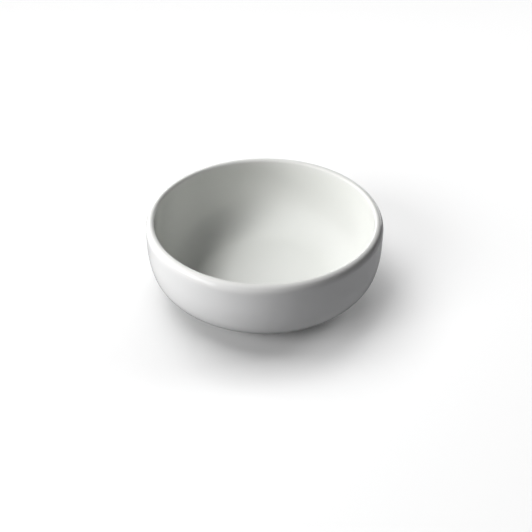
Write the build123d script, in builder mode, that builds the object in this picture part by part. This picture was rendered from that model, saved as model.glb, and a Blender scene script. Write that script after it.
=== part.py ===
"""Low, wide porcelain crucible: a fired clay body and the two coats of glaze fused onto it.

Millimetres, +Z up the axis of symmetry, origin at the middle of the plane that the foot stands on.
Every size is taken over the glaze, as a finished piece is measured, unless its comment says clay.
"""
from build123d import *
import os
from math import asin, cos, degrees, radians, sin

# Overall sizes
outer_diameter = 80.0
height = 29.4
wall_thickness = 2.9
floor_thickness = 3.1
glaze_thickness = 0.25

# Lip: a broad outer shoulder, a tighter crown, and one small round on the inside
lip_crown_radius = 1.57
lip_side_radius = 4.4
lip_side_turn = 30.0

# Outside: upright below the lip, then three arcs that run on into each other down to the foot
wall_arc_radius = 31.6
wall_turn = 13.4
heel_radius = 11.0
heel_turn = 38.6
belly_radius = 27.6
belly_turn = 33.0

# Inside: a short upright, a long arc and a rounded corner that runs out into the flat floor
inner_upright_depth = 4.0
inner_corner_radius = 13.7
inner_reach = 15.3

# Foot ring; its width and root are in clay
foot_height = 1.6
recess_depth = 1.6
tread_width = 2.6
foot_taper = 0.3
foot_root_fillet = 0.7
tread_round = 0.3

# Height above the resting plane at which the glaze was wiped off the foot
glaze_line_height = 0.5


def arc_width(radius, first_angle, last_angle):
    """Width along X of an arc whose normal turns between two angles from horizontal."""
    return radius * (cos(radians(first_angle)) - cos(radians(last_angle)))


def arc_height(radius, first_angle, last_angle):
    """Height along Z of an arc whose normal turns between two angles from horizontal."""
    return radius * (sin(radians(last_angle)) - sin(radians(first_angle)))


# Lip, over the glaze
outer_radius = outer_diameter / 2
inner_radius = outer_radius - wall_thickness
lip_shoulder_width = (arc_width(lip_side_radius, 0, lip_side_turn)
                      + arc_width(lip_crown_radius, lip_side_turn, 90))
inner_lip_radius = wall_thickness - lip_shoulder_width

# Outside, over the glaze: the wall's arc starts as high as the three arcs reach above the foot
heel_angle = wall_turn + heel_turn
belly_angle = heel_angle + belly_turn
wall_arc_top = (foot_height + arc_height(belly_radius, heel_angle, belly_angle)
                + arc_height(heel_radius, wall_turn, heel_angle)
                + arc_height(wall_arc_radius, 0, wall_turn))

# Inside, over the glaze: the long arc that touches both the upright and the rounded corner
floor_level = recess_depth + floor_thickness
flat_floor_radius = inner_radius - inner_reach
corner_drop = (height - inner_upright_depth) - (floor_level + inner_corner_radius)
inner_arc_radius = ((inner_reach**2 + corner_drop**2 - inner_corner_radius**2)
                    / (2 * (inner_reach - inner_corner_radius)))
inner_arc_turn = degrees(asin(corner_drop / (inner_arc_radius - inner_corner_radius)))

# The same in clay, one coat of glaze inside the finished surface
clay_radius = outer_radius - glaze_thickness
clay_inner_radius = inner_radius + glaze_thickness
clay_top = height - glaze_thickness
clay_recess = recess_depth + glaze_thickness
clay_floor = floor_level - glaze_thickness
clay_inner_lip_radius = inner_lip_radius - glaze_thickness
crown_middle = (outer_radius - lip_shoulder_width, clay_top)

# Half section of the clay, from the crown of the lip outwards, round the foot and back up inside
with BuildSketch(Plane.XZ) as clay_section:
    with BuildLine():
        crown = JernArc(
            crown_middle, (1, 0), lip_crown_radius - glaze_thickness, lip_side_turn - 90)
        shoulder = JernArc(
            crown @ 1, crown % 1, lip_side_radius - glaze_thickness, -lip_side_turn)
        outer_wall = Line(shoulder @ 1, (clay_radius, wall_arc_top))
        outer_arc = JernArc(
            outer_wall @ 1, (0, -1), wall_arc_radius - glaze_thickness, -wall_turn)
        heel = JernArc(
            outer_arc @ 1, outer_arc % 1, heel_radius - glaze_thickness, -heel_turn)
        belly = JernArc(
            heel @ 1, heel % 1, belly_radius - glaze_thickness, -belly_turn)
        foot_root = belly @ 1
        foot_outer_radius = foot_root.X - foot_taper
        foot_inner_radius = foot_outer_radius - tread_width
        foot = Polyline(
            foot_root,
            (foot_outer_radius, 0),
            (foot_inner_radius, 0),
            (foot_inner_radius - foot_taper, clay_recess),
            (0, clay_recess),
            (0, clay_floor),
            (flat_floor_radius, clay_floor),
        )
        inner_corner = JernArc(
            foot @ 1, (1, 0), inner_corner_radius + glaze_thickness, 90 - inner_arc_turn)
        inner_arc = JernArc(
            inner_corner @ 1, inner_corner % 1, inner_arc_radius + glaze_thickness, inner_arc_turn)
        inner_wall = Line(inner_arc @ 1, (clay_inner_radius, clay_top - clay_inner_lip_radius))
        inner_lip = JernArc(inner_wall @ 1, (0, 1), clay_inner_lip_radius, -90)
    make_face()
    root_corners = [
        clay_section.vertices().sort_by_distance(foot_root)[0],
        clay_section.vertices().sort_by_distance((foot_inner_radius - foot_taper, clay_recess))[0],
    ]
    fillet(root_corners, foot_root_fillet)
    fillet(clay_section.vertices().group_by(Axis.Y)[0], tread_round)

# Half section of both coats: the clay grown by one coat, less the clay, the far half and the foot
with BuildSketch(Plane.XZ) as glaze_section:
    add(clay_section.sketch_local)
    offset(amount=glaze_thickness, mode=Mode.REPLACE)
    add(clay_section.sketch_local, mode=Mode.SUBTRACT)
    Rectangle(outer_diameter, 2 * height, align=(Align.MAX, Align.CENTER), mode=Mode.SUBTRACT)
    Rectangle(outer_diameter, 2 * glaze_line_height, mode=Mode.SUBTRACT)

# Fired clay body, with its foot ring and the bare tread that it stands on
with BuildPart() as biscuit_body:
    add(clay_section.sketch)
    revolve(axis=Axis.Z)

# Glaze over the inside, the lip and the outside, down to the glaze line on the foot ring
with BuildPart() as bowl_glaze:
    add(glaze_section.sketch.faces().sort_by(SortBy.AREA)[-1])
    revolve(axis=Axis.Z)

# Glaze in the recess inside the foot ring
with BuildPart() as base_glaze:
    add(glaze_section.sketch.faces().sort_by(SortBy.AREA)[0])
    revolve(axis=Axis.Z)

biscuit_body.part.label = "biscuit_body"
bowl_glaze.part.label = "bowl_glaze"
base_glaze.part.label = "base_glaze"

os.makedirs("parts", exist_ok=True)
export_step(biscuit_body.part, "parts/biscuit_body.step")
export_step(bowl_glaze.part, "parts/bowl_glaze.step")
export_step(base_glaze.part, "parts/base_glaze.step")
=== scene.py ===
"""Low, wide porcelain crucible: its looks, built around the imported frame, and the studio it stands in.

Metres, +Z up the axis of symmetry, origin at the middle of the plane that the foot stands on.
The fired body and the two coats of glaze are each drawn as half an outline and spun about that axis.
"""
from math import atan2, ceil, cos, pi, radians, sin, sqrt, tan, tau

import bpy
from bpy.props import FloatProperty, FloatVectorProperty, PointerProperty
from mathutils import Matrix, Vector


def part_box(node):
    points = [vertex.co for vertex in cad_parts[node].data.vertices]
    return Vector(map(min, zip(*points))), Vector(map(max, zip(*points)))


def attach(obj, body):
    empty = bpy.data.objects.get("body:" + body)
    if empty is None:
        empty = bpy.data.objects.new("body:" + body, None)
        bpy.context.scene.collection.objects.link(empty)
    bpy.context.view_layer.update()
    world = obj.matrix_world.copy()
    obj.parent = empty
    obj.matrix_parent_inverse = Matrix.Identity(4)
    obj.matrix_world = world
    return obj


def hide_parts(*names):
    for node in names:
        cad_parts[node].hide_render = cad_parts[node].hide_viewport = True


bl_info = {
    "name": "Porcelain crucible",
    "version": (1, 0, 0),
    "blender": (4, 5, 0),
    "location": "View3D > Sidebar > Crucible",
    "description": "Builds a low porcelain crucible, its glaze and a plain studio around the frame",
    "category": "Add Mesh",
}

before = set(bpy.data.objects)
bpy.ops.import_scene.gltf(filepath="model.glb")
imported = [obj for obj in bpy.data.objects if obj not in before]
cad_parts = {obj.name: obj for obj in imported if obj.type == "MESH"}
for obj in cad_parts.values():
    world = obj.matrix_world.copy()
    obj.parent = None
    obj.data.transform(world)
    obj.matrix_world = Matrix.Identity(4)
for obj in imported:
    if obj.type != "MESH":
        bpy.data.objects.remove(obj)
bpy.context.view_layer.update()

MM = 0.001
BODY = "root"
PIECES = ("fired_body", "bowl_coat", "base_coat")

# What the frame gives: the sizes over the glaze, the glaze line, the clay of the recess, the coat
_, body_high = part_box("biscuit_body")
bowl_low, bowl_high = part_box("bowl_glaze")
_, recess_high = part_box("base_glaze")
COAT = bowl_high.x - body_high.x

# Mesh density
TURN_STEP = radians(4)
LENGTH_STEP = 1.4 * MM
SPIN_STEPS = 192
MERGE_DISTANCE = 0.001 * MM

# Uneven edge of the wiped glaze: how far up it fades out, in coats, and the clouds that shape it
EDGE_FADE_COATS = 3
EDGE_CLOUD_SIZE = 5 * MM
EDGE_CLOUD_DEPTH = 1

# Glaze
GLAZE_IOR = 1.6
GLAZE_PATCHES = {"Patches_per_metre": 45.0, "Contrast": 0.7}
GLAZE_SPECKS = {"Cells_per_metre": 330.0, "Speck_size": 0.09, "Share": 0.03}
GLAZE_SPECK_STRENGTH = 0.35
GLAZE_RELIEF = {"Waves_per_metre": 70.0, "Grains_per_metre": 700.0, "Grain_share": 0.04}
GLAZE_BUMP = {"Strength": 0.35, "Distance": 0.012 * MM}
GLAZE_TONES = (0.2, 0.8)
GLAZE_ROUGHNESS = (0.01, 0.03)
# Painted shade: between these shares of the height the glaze turns darker and greener, fully so below
# the second
LOW_SHADE_FROM = 0.6
LOW_SHADE_FULL = 0.1
THIN_LIP_CROWNS = 3
INNER_SIDE_RANGE = (-0.2, 0.9)

# Bare clay
CLAY_SPECULAR = 0.3
CLAY_PATCHES = {"Patches_per_metre": 140.0, "Contrast": 1.3}
CLAY_SPECKS = {"Cells_per_metre": 1100.0, "Speck_size": 0.2, "Share": 0.06}
CLAY_RELIEF = {"Waves_per_metre": 600.0, "Grains_per_metre": 5000.0, "Grain_share": 0.8}
CLAY_BUMP = {"Strength": 0.5, "Distance": 0.04 * MM}
CLAY_RING_TONES = (0.3, 0.7)
CLAY_ROUGHNESS = (0.55, 0.78)
RINGS = {"Scale": 4000.0, "Detail": 2.0}
RING_DEPTH = 0.6
TOASTED_FROM = 0.2 * MM
TREAD_FADE = 0.12 * MM


def length(name, description, default):
    """A property that holds a length."""
    return FloatProperty(name=name, description=description, default=default, min=0.0,
                         unit="LENGTH", precision=5)


def angle(name, description, degrees):
    """A property that holds an angle, given in degrees."""
    return FloatProperty(name=name, description=description, default=radians(degrees),
                         subtype="ANGLE", unit="ROTATION")


def colour(name, description, default):
    """A property that holds a linear colour."""
    return FloatVectorProperty(name=name, description=description, default=default, size=3,
                               min=0.0, max=1.0, subtype="COLOR")


class CrucibleSizes(bpy.types.PropertyGroup):
    """Sizes of the crucible. They are taken over the glaze, except where the name says clay."""

    outer_radius: length("Outer radius", "Widest radius, over the glaze", bowl_high.x)
    height: length("Height", "From the resting plane to the top of the lip", bowl_high.z)
    glaze_thickness: length("Glaze thickness", "Thickness of each coat of glaze", COAT)
    wall_thickness: length("Wall thickness", "Wall just below the lip", 2.9 * MM)
    floor_thickness: length("Floor thickness", "Floor of the bowl", 3.1 * MM)
    lip_crown_radius: length("Lip crown", "Round at the top of the lip", 1.57 * MM)
    lip_side_radius: length("Lip shoulder", "Round from the crown to the outer wall", 4.4 * MM)
    lip_side_turn: angle("Lip shoulder turn", "Angle that the shoulder turns through", 30.0)
    wall_arc_radius: length("Wall arc", "Arc below the upright part of the wall", 31.6 * MM)
    wall_turn: angle("Wall turn", "Angle that the wall's arc turns through", 13.4)
    heel_radius: length("Heel radius", "Tighter arc where the wall turns under", 11.0 * MM)
    heel_turn: angle("Heel turn", "Angle that the heel turns through", 38.6)
    belly_radius: length("Belly radius", "Long arc from the heel to the foot", 27.6 * MM)
    belly_turn: angle("Belly turn", "Angle from the heel to the root of the foot", 33.0)
    inner_upright: length("Inner upright", "Upright part of the inner wall", 4.0 * MM)
    inner_corner_radius: length("Inner corner", "Round from the inner wall to the floor", 13.7 * MM)
    inner_reach: length("Inner reach", "From the inner wall in to the flat floor", 15.3 * MM)
    foot_height: length("Foot height", "Clearance under the belly at the foot", 1.6 * MM)
    tread_width: length("Tread width", "Bare clay ring that the crucible stands on", 2.6 * MM)
    foot_taper: length("Foot taper", "How far each side of the foot leans", 0.3 * MM)
    root_fillet: length("Root fillet", "Clay round at each root of the foot", 0.7 * MM)
    tread_round: length("Tread round", "Round at each edge of the tread", 0.3 * MM)
    glaze_line: length("Glaze line", "Height that the glaze was wiped off to", bowl_low.z)
    clay_recess: length("Clay recess", "Height of the clay inside the foot ring", recess_high.z)
    line_waviness: length("Glaze line waviness", "How uneven the wiped line is", 0.22 * MM)


class CrucibleFinish(bpy.types.PropertyGroup):
    """Colours of the glaze and of the bare fired clay; the inner and low glaze colours hold painted
    shade.
    """

    glaze: colour("Glaze", "Glaze over the outside", (0.832, 0.834, 0.830))
    # Painted shade: a darker, greener copy of the glaze for the inside, standing in for the shade and
    # the bounced tint there
    inner_glaze_painted_shade: colour("Inner glaze", "Glaze over the inside, darker and greener as painted shade", (0.820, 0.828, 0.800))
    thin_glaze: colour("Thin glaze", "Glaze over the lip, where it is thinnest", (0.850, 0.845, 0.830))
    # Painted shade: darker and greener than the glaze, standing in for the tint of the shaded inside
    low_glaze_painted_shade: colour("Low glaze, painted shade", "Glaze darker and greener low down, as painted shade", (0.805, 0.822, 0.795))
    speck: colour("Speck", "Tiny iron speck in the body", (0.330, 0.290, 0.230))
    biscuit: colour("Biscuit", "Bare fired clay", (0.780, 0.745, 0.690))
    toasted_biscuit: colour("Toasted biscuit", "Clay warmed by the kiln", (0.640, 0.560, 0.460))
    rubbed_dirt: colour("Rubbed dirt", "Grey rubbed into the tread", (0.400, 0.380, 0.350))


class CrucibleStudio(bpy.types.PropertyGroup):
    """Floor, fill light, white room and camera."""

    floor: colour("Floor", "Colour of the paper floor", (0.90, 0.90, 0.90))
    bounce: colour("Bounce", "Colour of the paper in the light it throws back", (0.375, 0.375, 0.382))
    fill: FloatProperty(name="Fill", description="Strength of the even light all round",
                        default=0.0, min=0.0)
    surroundings: FloatProperty(name="Surroundings", min=0.0, default=0.5,
                                description="Strength of the white room that shows in the gloss")
    camera_distance: length("Camera distance", "From the point aimed at", 0.320)
    camera_height: angle("Camera elevation", "Angle that the camera looks down at", 36.47)
    aim_drop: length("Aim drop", "Point aimed at, below the top of the lip", 21.13 * MM)
    aim_side: length("Aim side", "Point aimed at, to the right of the axis", 0.47 * MM)
    lens: FloatProperty(name="Lens", description="Focal length in millimetres", default=61.81)


# ---------------------------------------------------------------- outlines


def turned(x, z, heading, distance):
    """The point at a distance from (x, z) along a heading in the XZ plane."""
    return x + distance * cos(heading), z + distance * sin(heading)


def steps_for(run, turn=0.0):
    """Number of edges along a run of the outline, by its length and by how far it turns."""
    return max(2, ceil(run / LENGTH_STEP), ceil(abs(turn) / TURN_STEP))


class Outline:
    """Half an outline in the XZ plane, drawn in edit mode by extruding and spinning one vertex."""

    def __init__(self, x, z, heading):
        self.x = x
        self.z = z
        self.heading = heading
        bpy.ops.mesh.select_all(action="DESELECT")
        bpy.ops.mesh.primitive_plane_add(size=MM, location=(x, 0, z))
        bpy.ops.mesh.merge(type="CENTER")

    def line(self, run):
        """Extrude straight on along the heading."""
        steps = steps_for(run)
        shift = (run / steps * cos(self.heading), 0, run / steps * sin(self.heading))
        for _ in range(steps):
            bpy.ops.mesh.extrude_vertices_move(TRANSFORM_OT_translate={"value": shift})
        self.x, self.z = turned(self.x, self.z, self.heading, run)

    def arc(self, radius, turn):
        """Spin on round a tangent arc; a positive turn is anticlockwise, with X to the right."""
        side = pi / 2 if turn > 0 else -pi / 2
        middle_x, middle_z = turned(self.x, self.z, self.heading + side, radius)
        bpy.ops.mesh.spin(steps=steps_for(radius * abs(turn), turn), angle=turn,
                          center=(middle_x, 0, middle_z), axis=(0, 1, 0))
        self.heading += turn
        self.x, self.z = turned(middle_x, middle_z, self.heading - side, radius)


class Section:
    """The crucible's cross-section, worked out from its sizes.

    Each method draws one stretch of it. The inset is how far inside the glazed surface it runs:
    nothing for the surface itself, one coat for the clay under it.
    """

    def __init__(self, sizes):
        self.sizes = sizes
        self.coat = sizes.glaze_thickness
        self.bead = self.coat / 2
        crown_turn = pi / 2 - sizes.lip_side_turn
        shoulder_width = (sizes.lip_side_radius * (1 - cos(sizes.lip_side_turn))
                          + sizes.lip_crown_radius * cos(sizes.lip_side_turn))
        shoulder_drop = (sizes.lip_side_radius * sin(sizes.lip_side_turn)
                         + sizes.lip_crown_radius * (1 - sin(sizes.lip_side_turn)))
        self.crown_turn = crown_turn
        self.crown_x = sizes.outer_radius - shoulder_width
        self.inner_lip_radius = sizes.wall_thickness - shoulder_width
        self.lay_out_belly(sizes.height - shoulder_drop)
        self.lay_out_foot()
        self.lay_out_inside()

    def lay_out_belly(self, shoulder_z):
        """Centre of the belly's arc, and the upright stretch left above the arcs."""
        sizes = self.sizes
        self.heel_angle = sizes.wall_turn + sizes.heel_turn
        end_angle = self.heel_angle + sizes.belly_turn
        arcs_height = (sizes.wall_arc_radius * sin(sizes.wall_turn)
                       + sizes.heel_radius * (sin(self.heel_angle) - sin(sizes.wall_turn))
                       + sizes.belly_radius * (sin(end_angle) - sin(self.heel_angle)))
        arcs_top = sizes.foot_height + arcs_height
        self.upright = shoulder_z - arcs_top
        x, z = sizes.outer_radius - sizes.wall_arc_radius, arcs_top
        x, z = turned(x, z, -sizes.wall_turn, sizes.wall_arc_radius - sizes.heel_radius)
        self.belly_middle = turned(x, z, -self.heel_angle, sizes.heel_radius - sizes.belly_radius)
        clay_belly = sizes.belly_radius - self.coat
        self.root = turned(*self.belly_middle, -end_angle, clay_belly)

    def lay_out_foot(self):
        """Fillets at both roots of the foot ring, and the straight sides between them."""
        sizes = self.sizes
        root_x, root_z = self.root
        slope = atan2(sizes.foot_taper, root_z)
        edge_x = root_x - sizes.foot_taper
        up = Vector((sin(slope), cos(slope)))
        out = Vector((cos(slope), -sin(slope)))
        # Middle of the outer fillet: one radius off the foot's side and off the belly
        start = Vector((edge_x, 0)) + out * sizes.root_fillet
        middle = Vector(self.belly_middle)
        reach = sizes.belly_radius - self.coat + sizes.root_fillet
        along = (middle - start).dot(up)
        rise = along - sqrt(reach**2 - ((middle - start).length_squared - along**2))
        fillet_middle = start + up * rise
        offset = fillet_middle - middle
        self.root_angle = atan2(-offset.y, offset.x)
        self.outer_slope = slope
        self.outer_side = rise
        self.root_turn = self.root_angle - slope
        # Inner side of the ring and the fillet under the floor
        inner_x = edge_x - sizes.tread_width
        self.inner_slope = atan2(sizes.foot_taper, sizes.clay_recess)
        fillet_z = sizes.clay_recess - sizes.root_fillet
        lean = fillet_z * tan(self.inner_slope)
        self.ceiling = inner_x - lean - sizes.root_fillet / cos(self.inner_slope)
        self.inner_turn = pi / 2 - self.inner_slope
        fillet_end_z = fillet_z + sizes.root_fillet * sin(self.inner_slope)
        self.inner_side = fillet_end_z / cos(self.inner_slope)

    def lay_out_inside(self):
        """Long arc of the inner wall, tangent to its upright and to the corner."""
        sizes = self.sizes
        floor_z = sizes.clay_recess - self.coat + sizes.floor_thickness
        drop = sizes.height - sizes.inner_upright - floor_z - sizes.inner_corner_radius
        reach, corner = sizes.inner_reach, sizes.inner_corner_radius
        self.inner_arc_radius = (reach**2 + drop**2 - corner**2) / (2 * (reach - corner))
        self.inner_arc_turn = atan2(drop, self.inner_arc_radius - reach)
        self.flat_radius = sizes.outer_radius - sizes.wall_thickness - reach

    def outside(self, inset):
        """Draw from the crown of the lip down the outside to the fillet at the foot's root."""
        sizes = self.sizes
        pen = Outline(self.crown_x, sizes.height - inset, 0)
        pen.arc(sizes.lip_crown_radius - inset, -self.crown_turn)
        pen.arc(sizes.lip_side_radius - inset, -sizes.lip_side_turn)
        pen.line(self.upright)
        pen.arc(sizes.wall_arc_radius - inset, -sizes.wall_turn)
        pen.arc(sizes.heel_radius - inset, -sizes.heel_turn)
        pen.arc(sizes.belly_radius - inset, self.heel_angle - self.root_angle)
        pen.arc(sizes.root_fillet - self.coat + inset, self.root_turn)
        return pen

    def inside(self, inset):
        """Draw from the crown of the lip down the inside to the middle of the floor."""
        sizes = self.sizes
        pen = Outline(self.crown_x, sizes.height - inset, pi)
        pen.arc(self.inner_lip_radius - inset, pi / 2)
        pen.line(sizes.inner_upright - self.inner_lip_radius)
        pen.arc(self.inner_arc_radius + inset, -self.inner_arc_turn)
        pen.arc(sizes.inner_corner_radius + inset, self.inner_arc_turn - pi / 2)
        pen.line(self.flat_radius)

    def recess(self, inset):
        """Draw from the middle of the recess out to the end of the fillet inside the foot ring."""
        sizes = self.sizes
        pen = Outline(0, sizes.clay_recess - self.coat + inset, 0)
        pen.line(self.ceiling)
        pen.arc(sizes.root_fillet - self.coat + inset, -self.inner_turn)
        return pen

    def side_above_line(self, side, slope):
        """Length of a side of the foot that is glazed, down to the rounded edge of the coat."""
        middle_z = side * cos(slope) - self.bead * sin(slope)
        return (middle_z - self.bead - self.sizes.glaze_line) / cos(slope)


# ---------------------------------------------------------------- pieces


def start_piece(name):
    """Add the mesh that a piece is drawn in, empty and in edit mode."""
    bpy.ops.object.select_all(action="DESELECT")
    bpy.ops.mesh.primitive_plane_add(size=MM, location=(0, 0, 0))
    piece = bpy.context.active_object
    piece.name = name
    piece.data.name = name
    bpy.ops.object.mode_set(mode="EDIT")
    bpy.ops.mesh.select_all(action="SELECT")
    bpy.ops.mesh.delete(type="VERT")
    return piece


def spin_round():
    """Spin every outline once round the axis, close the seam and the poles, and face outwards."""
    bpy.ops.mesh.select_all(action="SELECT")
    bpy.ops.mesh.spin(steps=SPIN_STEPS, angle=tau, center=(0, 0, 0), axis=(0, 0, 1))
    bpy.ops.mesh.select_all(action="SELECT")
    bpy.ops.mesh.remove_doubles(threshold=MERGE_DISTANCE)
    bpy.ops.mesh.select_all(action="SELECT")
    bpy.ops.mesh.normals_make_consistent(inside=False)
    bpy.ops.mesh.select_all(action="DESELECT")


def finish_piece(piece, node, material):
    """Smooth the piece, give it its finish and let it stand for its CAD node."""
    if bpy.context.mode == "EDIT_MESH":
        bpy.ops.object.mode_set(mode="OBJECT")
    if not piece.data.polygons:
        raise RuntimeError(f"{piece.name} has no faces")
    bpy.ops.object.shade_smooth()
    piece.data.materials.clear()
    piece.data.materials.append(material)
    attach(piece, BODY)
    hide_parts(node)
    piece.select_set(False)


def waver_glaze_line(piece, sizes):
    """Make the wiped edge of a coat slightly uneven, up and down the side of the foot."""
    bpy.ops.object.mode_set(mode="OBJECT")
    fade = EDGE_FADE_COATS * sizes.glaze_thickness
    edge = [v.index for v in piece.data.vertices if v.co.z < sizes.glaze_line + fade]
    group = piece.vertex_groups.new(name="glaze edge")
    for index in edge:
        above = piece.data.vertices[index].co.z - sizes.glaze_line
        group.add([index], 1 - above / fade, "REPLACE")
    clouds = bpy.data.textures.new("wiped edge", "CLOUDS")
    clouds.noise_scale = EDGE_CLOUD_SIZE
    clouds.noise_depth = EDGE_CLOUD_DEPTH
    waver = piece.modifiers.new("Wiped edge", "DISPLACE")
    waver.texture = clouds
    waver.texture_coords = "LOCAL"
    waver.direction = "Z"
    waver.vertex_group = group.name
    waver.mid_level = 0.5
    waver.strength = sizes.line_waviness
    bpy.ops.object.modifier_apply(modifier=waver.name)
    piece.vertex_groups.clear()


class CRUCIBLE_OT_fired_body(bpy.types.Operator):
    """Fired clay body, with the bare tread that shows under the foot"""

    bl_idname = "crucible.fired_body"
    bl_label = "Fired body"

    def execute(self, context):
        sizes = context.scene.crucible_sizes
        section = Section(sizes)
        piece = start_piece(PIECES[0])
        section.inside(section.coat)
        pen = section.outside(section.coat)
        outer_turn = pi / 2 - section.outer_slope
        outer_trim = sizes.tread_round * tan(outer_turn / 2)
        inner_trim = sizes.tread_round * tan(section.inner_turn / 2)
        pen.line(section.outer_side - outer_trim)
        pen.arc(sizes.tread_round, -outer_turn)
        pen.line(sizes.tread_width - outer_trim - inner_trim)
        pen.arc(sizes.tread_round, -section.inner_turn)
        pen.line(section.inner_side - inner_trim)
        pen.arc(sizes.root_fillet, section.inner_turn)
        pen.line(section.ceiling)
        spin_round()
        material = biscuit_material(context.scene.crucible_finish, sizes)
        finish_piece(piece, "biscuit_body", material)
        return {"FINISHED"}


class CRUCIBLE_OT_bowl_coat(bpy.types.Operator):
    """Glaze over the inside, the lip and the outside, down to the wiped line on the foot"""

    bl_idname = "crucible.bowl_coat"
    bl_label = "Bowl glaze"

    def execute(self, context):
        sizes = context.scene.crucible_sizes
        section = Section(sizes)
        piece = start_piece(PIECES[1])
        glazed_side = section.side_above_line(section.outer_side, section.outer_slope)
        section.inside(section.coat)
        section.outside(section.coat).line(glazed_side)
        section.inside(0)
        pen = section.outside(0)
        pen.line(glazed_side)
        pen.arc(section.bead, -pi)
        spin_round()
        waver_glaze_line(piece, sizes)
        material = glaze_material(context.scene.crucible_finish, sizes)
        finish_piece(piece, "bowl_glaze", material)
        return {"FINISHED"}


class CRUCIBLE_OT_base_coat(bpy.types.Operator):
    """Glaze in the recess inside the foot ring"""

    bl_idname = "crucible.base_coat"
    bl_label = "Base glaze"

    def execute(self, context):
        sizes = context.scene.crucible_sizes
        section = Section(sizes)
        piece = start_piece(PIECES[2])
        glazed_side = section.side_above_line(section.inner_side, section.inner_slope)
        section.recess(section.coat).line(glazed_side)
        pen = section.recess(0)
        pen.line(glazed_side)
        pen.arc(section.bead, pi)
        spin_round()
        waver_glaze_line(piece, sizes)
        material = glaze_material(context.scene.crucible_finish, sizes)
        finish_piece(piece, "base_glaze", material)
        return {"FINISHED"}


# ---------------------------------------------------------------- finishes


def add_node(tree, kind, settings=None, **inputs):
    """Add a node, set its properties, then set or link its inputs.

    An input is given by its name with _ for each space, or as _0, _1 and so on by its place.
    """
    node = tree.nodes.new(kind)
    for name, value in (settings or {}).items():
        setattr(node, name, value)
    for name, value in inputs.items():
        key = int(name[1:]) if name[1:].isdigit() else name.replace("_", " ")
        socket = node.inputs[key]
        if isinstance(value, bpy.types.NodeSocket):
            tree.links.new(value, socket)
        else:
            socket.default_value = value
    return node


def blended(tree, share, first, second):
    """Mix two colours by a varying share."""
    node = add_node(tree, "ShaderNodeMix", {"data_type": "RGBA"})
    colours = [socket for socket in node.inputs if socket.type == "RGBA"]
    for socket, value in zip(colours, (first, second)):
        if isinstance(value, bpy.types.NodeSocket):
            tree.links.new(value, socket)
        else:
            socket.default_value = (*value, 1)
    tree.links.new(share, node.inputs["Factor"])
    return next(socket for socket in node.outputs if socket.type == "RGBA")


def sum_of(tree, operation, first, second):
    """Work out one number from two, each a socket or a value."""
    return add_node(tree, "ShaderNodeMath", {"operation": operation}, _0=first, _1=second).outputs[0]


def ramp(tree, value, low, high, to_low=0.0, to_high=1.0):
    """Map a value smoothly from one range to another."""
    node = add_node(tree, "ShaderNodeMapRange", {"interpolation_type": "SMOOTHSTEP"}, Value=value,
                    From_Min=low, From_Max=high, To_Min=to_low, To_Max=to_high)
    return node.outputs["Result"]


def new_group(name, inputs, output):
    """Start a shader node group with float inputs and one varying output beside its Vector."""
    group = bpy.data.node_groups.new(name, "ShaderNodeTree")
    group.interface.new_socket("Vector", in_out="INPUT", socket_type="NodeSocketVector")
    for label, default in inputs.items():
        socket = group.interface.new_socket(label, in_out="INPUT", socket_type="NodeSocketFloat")
        socket.default_value = default
    group.interface.new_socket(output, in_out="OUTPUT", socket_type="NodeSocketFloat")
    given = group.nodes.new("NodeGroupInput").outputs
    result = group.nodes.new("NodeGroupOutput").inputs[output]
    return group, given, result


def firing_patches():
    """Group: soft uneven patches, as a kiln leaves in clay and glaze alike."""
    name = "Firing patches"
    if name in bpy.data.node_groups:
        return bpy.data.node_groups[name]
    group, given, result = new_group(name, {"Patches per metre": 60.0, "Contrast": 0.5}, "Tone")
    noise = add_node(group, "ShaderNodeTexNoise", Vector=given["Vector"],
                     Scale=given["Patches per metre"], Detail=3.0, Roughness=0.45)
    middle = sum_of(group, "SUBTRACT", noise.outputs[0], 0.5)
    spread = sum_of(group, "MULTIPLY", middle, given["Contrast"])
    group.links.new(sum_of(group, "ADD", spread, 0.5), result)
    return group


def iron_specks():
    """Group: rare round specks of iron, each only a fraction of a millimetre across."""
    name = "Iron specks"
    if name in bpy.data.node_groups:
        return bpy.data.node_groups[name]
    group, given, result = new_group(
        name, {"Cells per metre": 500.0, "Speck size": 0.12, "Share": 0.03}, "Mask")
    cells = add_node(group, "ShaderNodeTexVoronoi", Vector=given["Vector"],
                     Scale=given["Cells per metre"])
    chance = add_node(group, "ShaderNodeSeparateColor", Color=cells.outputs["Color"])
    chosen = sum_of(group, "LESS_THAN", chance.outputs[0], given["Share"])
    size = sum_of(group, "MULTIPLY", given["Speck size"], chance.outputs[1])
    near = ramp(group, cells.outputs["Distance"], size, 0.0)
    group.links.new(sum_of(group, "MULTIPLY", chosen, near), result)
    return group


def fine_relief():
    """Group: a long, shallow undulation with a finer grain on it."""
    name = "Fine relief"
    if name in bpy.data.node_groups:
        return bpy.data.node_groups[name]
    group, given, result = new_group(
        name, {"Waves per metre": 90.0, "Grains per metre": 900.0, "Grain share": 0.1}, "Height")
    waves = add_node(group, "ShaderNodeTexNoise", Vector=given["Vector"],
                     Scale=given["Waves per metre"], Detail=1.0)
    grains = add_node(group, "ShaderNodeTexNoise", Vector=given["Vector"],
                      Scale=given["Grains per metre"], Detail=4.0, Roughness=0.6)
    fine = sum_of(group, "MULTIPLY", grains.outputs[0], given["Grain share"])
    group.links.new(sum_of(group, "ADD", waves.outputs[0], fine), result)
    return group


def placed_group(tree, group, vector, **inputs):
    """Place a node group on the piece's own coordinates, and return its output."""
    return add_node(tree, "ShaderNodeGroup", {"node_tree": group}, Vector=vector, **inputs).outputs[0]


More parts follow.
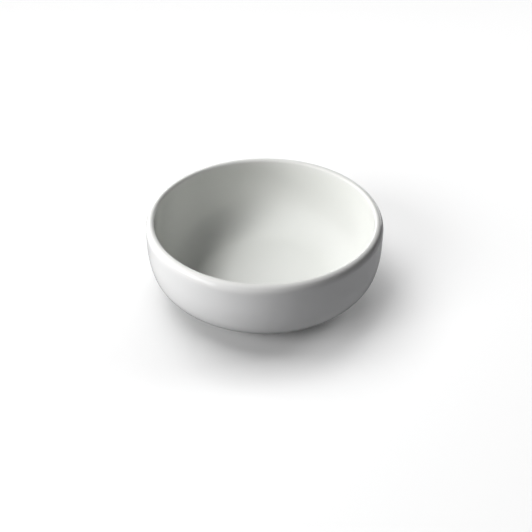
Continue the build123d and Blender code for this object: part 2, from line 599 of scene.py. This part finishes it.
def inner_side(tree, place):
    """Mask that is one where the surface faces the axis or upwards, and nothing on the outside."""
    outwards = add_node(tree, "ShaderNodeVectorMath", {"operation": "MULTIPLY"},
                        _0=place, _1=(1, 1, 0))
    radial = add_node(tree, "ShaderNodeVectorMath", {"operation": "NORMALIZE"},
                      _0=outwards.outputs[0])
    normal = add_node(tree, "ShaderNodeNewGeometry").outputs["Normal"]
    facing_out = add_node(tree, "ShaderNodeVectorMath", {"operation": "DOT_PRODUCT"},
                          _0=normal, _1=radial.outputs[0]).outputs["Value"]
    facing_up = add_node(tree, "ShaderNodeSeparateXYZ", Vector=normal).outputs["Z"]
    return ramp(tree, sum_of(tree, "SUBTRACT", facing_up, facing_out), *INNER_SIDE_RANGE)


def new_material(name):
    """A material with an empty node tree, and its shader."""
    material = bpy.data.materials.new(name)
    material.use_nodes = True
    material.node_tree.nodes.clear()
    tree = material.node_tree
    shader = tree.nodes.new("ShaderNodeBsdfPrincipled")
    output = tree.nodes.new("ShaderNodeOutputMaterial")
    tree.links.new(shader.outputs[0], output.inputs["Surface"])
    return material, tree, shader


def glaze_material(finish, sizes):
    """Clear, glossy glaze over white porcelain: thin on the lip, with painted shade making it a little
    darker and greener over the inside and low down.
    """
    name = "Glazed porcelain"
    if name in bpy.data.materials:
        return bpy.data.materials[name]
    material, tree, shader = new_material(name)
    place = add_node(tree, "ShaderNodeTexCoord").outputs["Object"]
    z = add_node(tree, "ShaderNodeSeparateXYZ", Vector=place).outputs["Z"]
    tone = placed_group(tree, firing_patches(), place, **GLAZE_PATCHES)
    # Painted shade: the inside takes the darker, greener glaze
    coat = blended(tree, inner_side(tree, place), finish.glaze, finish.inner_glaze_painted_shade)
    # Painted shade: darker, greener glaze low down, in patches
    low_down = ramp(tree, z, LOW_SHADE_FROM * sizes.height, LOW_SHADE_FULL * sizes.height)
    low_painted_shade = sum_of(tree, "MULTIPLY", low_down, tone)
    coat = blended(tree, low_painted_shade, coat, finish.low_glaze_painted_shade)
    thin_from = sizes.height - THIN_LIP_CROWNS * sizes.lip_crown_radius
    thin = sum_of(tree, "MULTIPLY", ramp(tree, z, thin_from, sizes.height), tone)
    coat = blended(tree, thin, coat, finish.thin_glaze)
    specks = placed_group(tree, iron_specks(), place, **GLAZE_SPECKS)
    faint = sum_of(tree, "MULTIPLY", specks, GLAZE_SPECK_STRENGTH)
    tree.links.new(blended(tree, faint, coat, finish.speck), shader.inputs["Base Color"])
    roughness = ramp(tree, tone, *GLAZE_TONES, *GLAZE_ROUGHNESS)
    tree.links.new(roughness, shader.inputs["Roughness"])
    height = placed_group(tree, fine_relief(), place, **GLAZE_RELIEF)
    bump = add_node(tree, "ShaderNodeBump", Height=height, **GLAZE_BUMP)
    tree.links.new(bump.outputs[0], shader.inputs["Normal"])
    shader.inputs["IOR"].default_value = GLAZE_IOR
    return material


def biscuit_material(finish, sizes):
    """Bare fired clay: fine dry grain, rings left by grinding, and grey rubbed into the tread."""
    name = "Biscuit porcelain"
    if name in bpy.data.materials:
        return bpy.data.materials[name]
    material, tree, shader = new_material(name)
    place = add_node(tree, "ShaderNodeTexCoord").outputs["Object"]
    parts = add_node(tree, "ShaderNodeSeparateXYZ", Vector=place).outputs
    flat = add_node(tree, "ShaderNodeCombineXYZ", X=parts["X"], Y=parts["Y"])
    radius = add_node(tree, "ShaderNodeVectorMath", {"operation": "LENGTH"},
                      Vector=flat.outputs[0]).outputs["Value"]
    rings_place = add_node(tree, "ShaderNodeCombineXYZ", X=radius, Y=parts["Z"])
    rings = add_node(tree, "ShaderNodeTexNoise", Vector=rings_place.outputs[0], **RINGS).outputs[0]
    tone = placed_group(tree, firing_patches(), place, **CLAY_PATCHES)
    near_line = ramp(tree, parts["Z"], TOASTED_FROM, sizes.glaze_line)
    toasted = sum_of(tree, "MULTIPLY", near_line, tone)
    on_tread = ramp(tree, parts["Z"], TREAD_FADE, 0.0)
    dirt = sum_of(tree, "MULTIPLY", sum_of(tree, "MULTIPLY", on_tread, tone), rings)
    clay = blended(tree, toasted, finish.biscuit, finish.toasted_biscuit)
    rubbed = blended(tree, dirt, clay, finish.rubbed_dirt)
    specks = placed_group(tree, iron_specks(), place, **CLAY_SPECKS)
    tree.links.new(blended(tree, specks, rubbed, finish.speck), shader.inputs["Base Color"])
    roughness = ramp(tree, rings, *CLAY_RING_TONES, *CLAY_ROUGHNESS)
    tree.links.new(roughness, shader.inputs["Roughness"])
    grain = placed_group(tree, fine_relief(), place, **CLAY_RELIEF)
    height = sum_of(tree, "ADD", grain, sum_of(tree, "MULTIPLY", rings, RING_DEPTH))
    bump = add_node(tree, "ShaderNodeBump", Height=height, **CLAY_BUMP)
    tree.links.new(bump.outputs[0], shader.inputs["Normal"])
    shader.inputs["Specular IOR Level"].default_value = CLAY_SPECULAR
    return material


# ---------------------------------------------------------------- studio


# Each lamp: azimuth (0 towards the camera, -90 left, 180 behind), elevation, distance, width,
# height and power. Body lamps shade the crucible, gloss lamps only show as highlights on it, and
# floor lamps light the paper it stands on.
BODY_LAMPS = {
    "left_low": (-75.0, 5.0, 0.80, 0.25, 0.25, 2.70),
    "left_window": (-68.0, 38.0, 0.80, 0.48, 0.25, 2.90),
    "left_high": (-92.0, 52.0, 0.80, 0.30, 0.25, 3.55),
    "back_left": (-150.0, 38.0, 0.80, 0.25, 0.25, 1.10),
}
GLOSS_LAMPS = {
    "wide_window": (-92.0, 11.0, 0.50, 1.15, 0.12, 1.8),
    "background_card": (180.0, 6.0, 1.20, 2.20, 0.20, 6.0),
}
FLOOR_LAMPS = {
    "overhead": (-120.0, 68.0, 0.80, 0.70, 0.60, 5.2),
    "front_left": (-48.0, 32.0, 0.80, 0.50, 0.30, 3.1),
    "right": (112.0, 35.0, 0.80, 0.40, 0.40, 2.1),
    "back_right": (150.0, 60.0, 0.80, 0.30, 0.30, 0.9),
}
LAMP_TARGET = Vector((0, 0, 10 * MM))
FLOOR_SIZE = 4.0
CLIP_START = 10 * MM


def around(azimuth, elevation, distance):
    """The point at an azimuth and elevation round the origin; azimuth 0 is towards the camera."""
    flat = distance * cos(elevation)
    return Vector((flat * sin(azimuth), -flat * cos(azimuth), distance * sin(elevation)))


def aim(thing, target):
    """Turn a lamp or camera to look at a point."""
    thing.rotation_euler = (target - thing.location).to_track_quat("-Z", "Y").to_euler()


def add_lamp(name, azimuth, elevation, distance, width, height, power):
    """A soft rectangular lamp aimed at the crucible and never seen by the camera."""
    place = around(radians(azimuth), radians(elevation), distance)
    bpy.ops.object.light_add(type="AREA", location=place)
    lamp = bpy.context.active_object
    lamp.name = name
    lamp.data.shape = "RECTANGLE"
    lamp.data.size = width
    lamp.data.size_y = height
    lamp.data.energy = power
    lamp.visible_camera = False
    aim(lamp, LAMP_TARGET)
    return lamp


def add_lamps(settings, receivers, diffuse=True, glossy=True):
    """Lamps that light only the objects in one collection."""
    for name, values in settings.items():
        lamp = add_lamp(name, *values)
        lamp.visible_diffuse = diffuse
        lamp.visible_glossy = glossy
        lamp.light_linking.receiver_collection = receivers


def lit_together(name, things):
    """A collection, outside the scene, of the objects that a set of lamps lights."""
    receivers = bpy.data.collections.new(name)
    for thing in things:
        receivers.objects.link(thing)
    return receivers


def floor_material(studio):
    """Matt white paper that throws back less light than it shows."""
    material, tree, shader = new_material("Paper floor")
    path = add_node(tree, "ShaderNodeLightPath").outputs["Is Camera Ray"]
    tree.links.new(blended(tree, path, studio.bounce, studio.floor), shader.inputs["Base Color"])
    shader.inputs["Roughness"].default_value = 1.0
    shader.inputs["Specular IOR Level"].default_value = 0.0
    return material


def white_world(studio):
    """A white room: plain white to the camera, dimmer in the gloss, and a light only as fill."""
    world = bpy.data.worlds.new("Studio")
    world.use_nodes = True
    tree = world.node_tree
    tree.nodes.clear()
    path = add_node(tree, "ShaderNodeLightPath").outputs
    fill = add_node(tree, "ShaderNodeBackground", Color=(1, 1, 1, 1), Strength=studio.fill)
    room = add_node(tree, "ShaderNodeBackground", Color=(1, 1, 1, 1), Strength=studio.surroundings)
    seen = add_node(tree, "ShaderNodeBackground", Color=(1, 1, 1, 1), Strength=1.0)
    unseen = add_node(tree, "ShaderNodeMixShader", _0=path["Is Glossy Ray"], _1=fill.outputs[0],
                      _2=room.outputs[0])
    mix = add_node(tree, "ShaderNodeMixShader", _0=path["Is Camera Ray"], _1=unseen.outputs[0],
                   _2=seen.outputs[0])
    output = tree.nodes.new("ShaderNodeOutputWorld")
    tree.links.new(mix.outputs[0], output.inputs["Surface"])
    return world


class CRUCIBLE_OT_studio(bpy.types.Operator):
    """Plain paper floor, soft lamps and the camera"""

    bl_idname = "crucible.studio"
    bl_label = "Studio"

    def execute(self, context):
        studio = context.scene.crucible_studio
        sizes = context.scene.crucible_sizes
        bpy.ops.object.select_all(action="DESELECT")
        bpy.ops.mesh.primitive_plane_add(size=FLOOR_SIZE, location=(0, 0, 0))
        floor = context.active_object
        floor.name = "floor"
        floor.data.materials.append(floor_material(studio))
        context.scene.world = white_world(studio)
        crucible = lit_together("lit crucible", [bpy.data.objects[name] for name in PIECES])
        paper = lit_together("lit paper", [floor])
        add_lamps(BODY_LAMPS, crucible, glossy=False)
        add_lamps(GLOSS_LAMPS, crucible, diffuse=False)
        add_lamps(FLOOR_LAMPS, paper)
        target = Vector((studio.aim_side, 0, sizes.height - studio.aim_drop))
        place = target + around(0, studio.camera_height, studio.camera_distance)
        bpy.ops.object.camera_add(location=place)
        camera = context.active_object
        camera.name = "camera"
        camera.data.lens = studio.lens
        camera.data.clip_start = CLIP_START
        aim(camera, target)
        context.scene.camera = camera
        context.scene.view_settings.view_transform = "Standard"
        return {"FINISHED"}


class CRUCIBLE_PT_panel(bpy.types.Panel):
    """Lists the operators and the sizes, colours and studio settings they use"""

    bl_label = "Porcelain crucible"
    bl_idname = "CRUCIBLE_PT_panel"
    bl_space_type = "VIEW_3D"
    bl_region_type = "UI"
    bl_category = "Crucible"

    def draw(self, context):
        for operator in OPERATORS:
            self.layout.operator(operator.bl_idname)
        for group in (context.scene.crucible_sizes, context.scene.crucible_finish,
                      context.scene.crucible_studio):
            box = self.layout.box()
            for name in group.__annotations__:
                box.prop(group, name)


GROUPS = (CrucibleSizes, CrucibleFinish, CrucibleStudio)
OPERATORS = (CRUCIBLE_OT_fired_body, CRUCIBLE_OT_bowl_coat, CRUCIBLE_OT_base_coat,
             CRUCIBLE_OT_studio)
CLASSES = (*GROUPS, *OPERATORS, CRUCIBLE_PT_panel)


def register():
    """Register the classes and hang their settings on the scene."""
    for cls in CLASSES:
        bpy.utils.register_class(cls)
    bpy.types.Scene.crucible_sizes = PointerProperty(type=CrucibleSizes)
    bpy.types.Scene.crucible_finish = PointerProperty(type=CrucibleFinish)
    bpy.types.Scene.crucible_studio = PointerProperty(type=CrucibleStudio)


def unregister():
    """Take off all that register put on."""
    del bpy.types.Scene.crucible_studio
    del bpy.types.Scene.crucible_finish
    del bpy.types.Scene.crucible_sizes
    for cls in reversed(CLASSES):
        bpy.utils.unregister_class(cls)


def main():
    """Build the crucible and its studio."""
    register()
    bpy.ops.crucible.fired_body()
    bpy.ops.crucible.bowl_coat()
    bpy.ops.crucible.base_coat()
    bpy.ops.crucible.studio()


if __name__ == "__main__":
    main()
